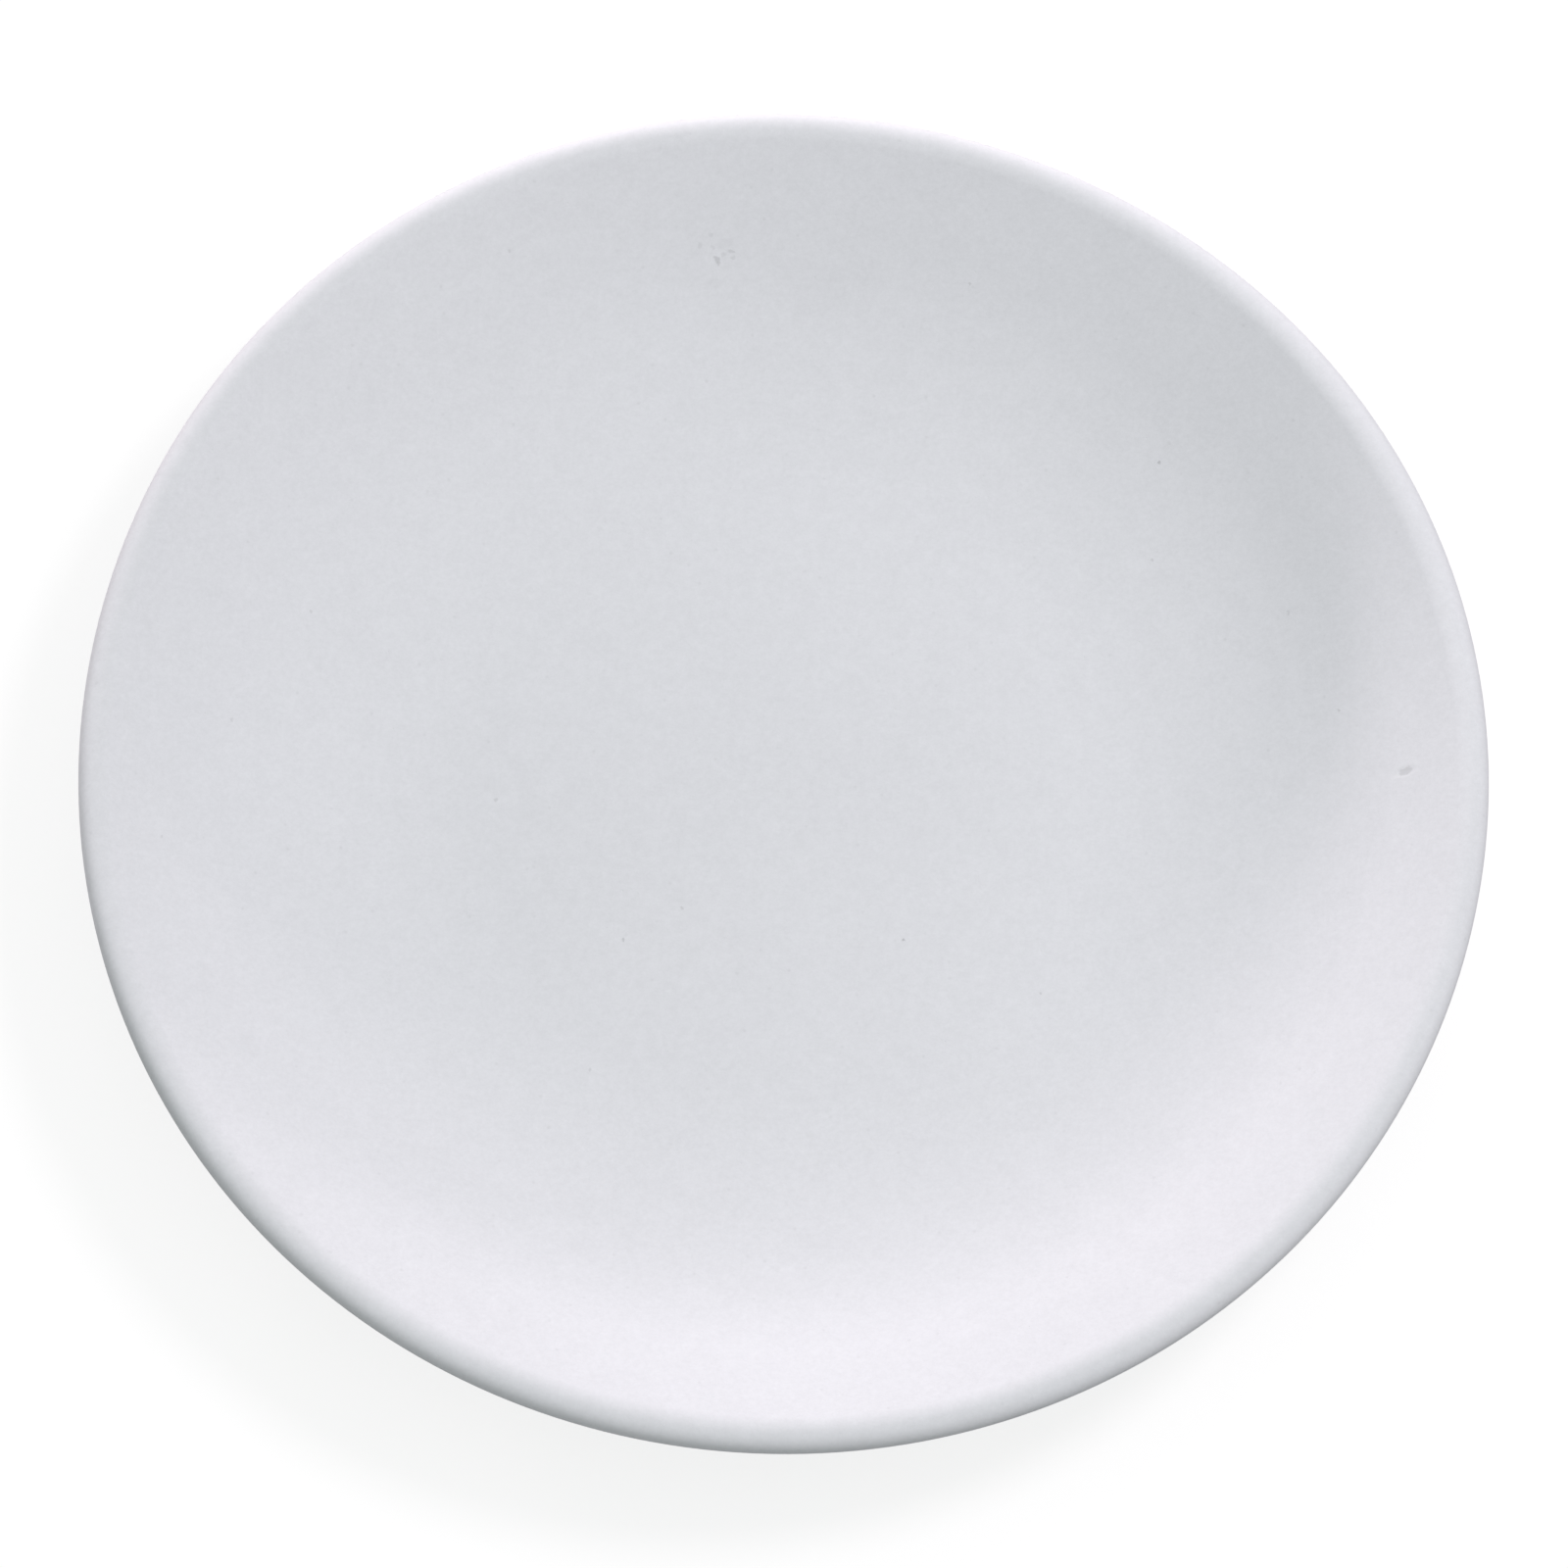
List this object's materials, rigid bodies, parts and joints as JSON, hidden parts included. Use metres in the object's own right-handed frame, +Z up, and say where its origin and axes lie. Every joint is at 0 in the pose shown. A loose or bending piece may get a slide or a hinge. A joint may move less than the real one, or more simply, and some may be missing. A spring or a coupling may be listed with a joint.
{
  "type": "plate",
  "caption": "Round unglazed bisque coupe plate: a flat well curves up into a sloping wall with a fully rounded lip, and a low foot ring carries it.",
  "frame": {"origin": "middle of the foot ring, on the plane that it stands on", "axes": "+Z up through the middle of the plate, towards the open side of the dish; X and Y lie in the standing plane"},
  "size_m": [0.26, 0.26, 0.0305],
  "materials": {
    "bisque": "matt, unglazed, fired once, fine chalky grain"
  },
  "bodies": {
    "root": {"plate": "bisque"}
  },
  "joints": []
}
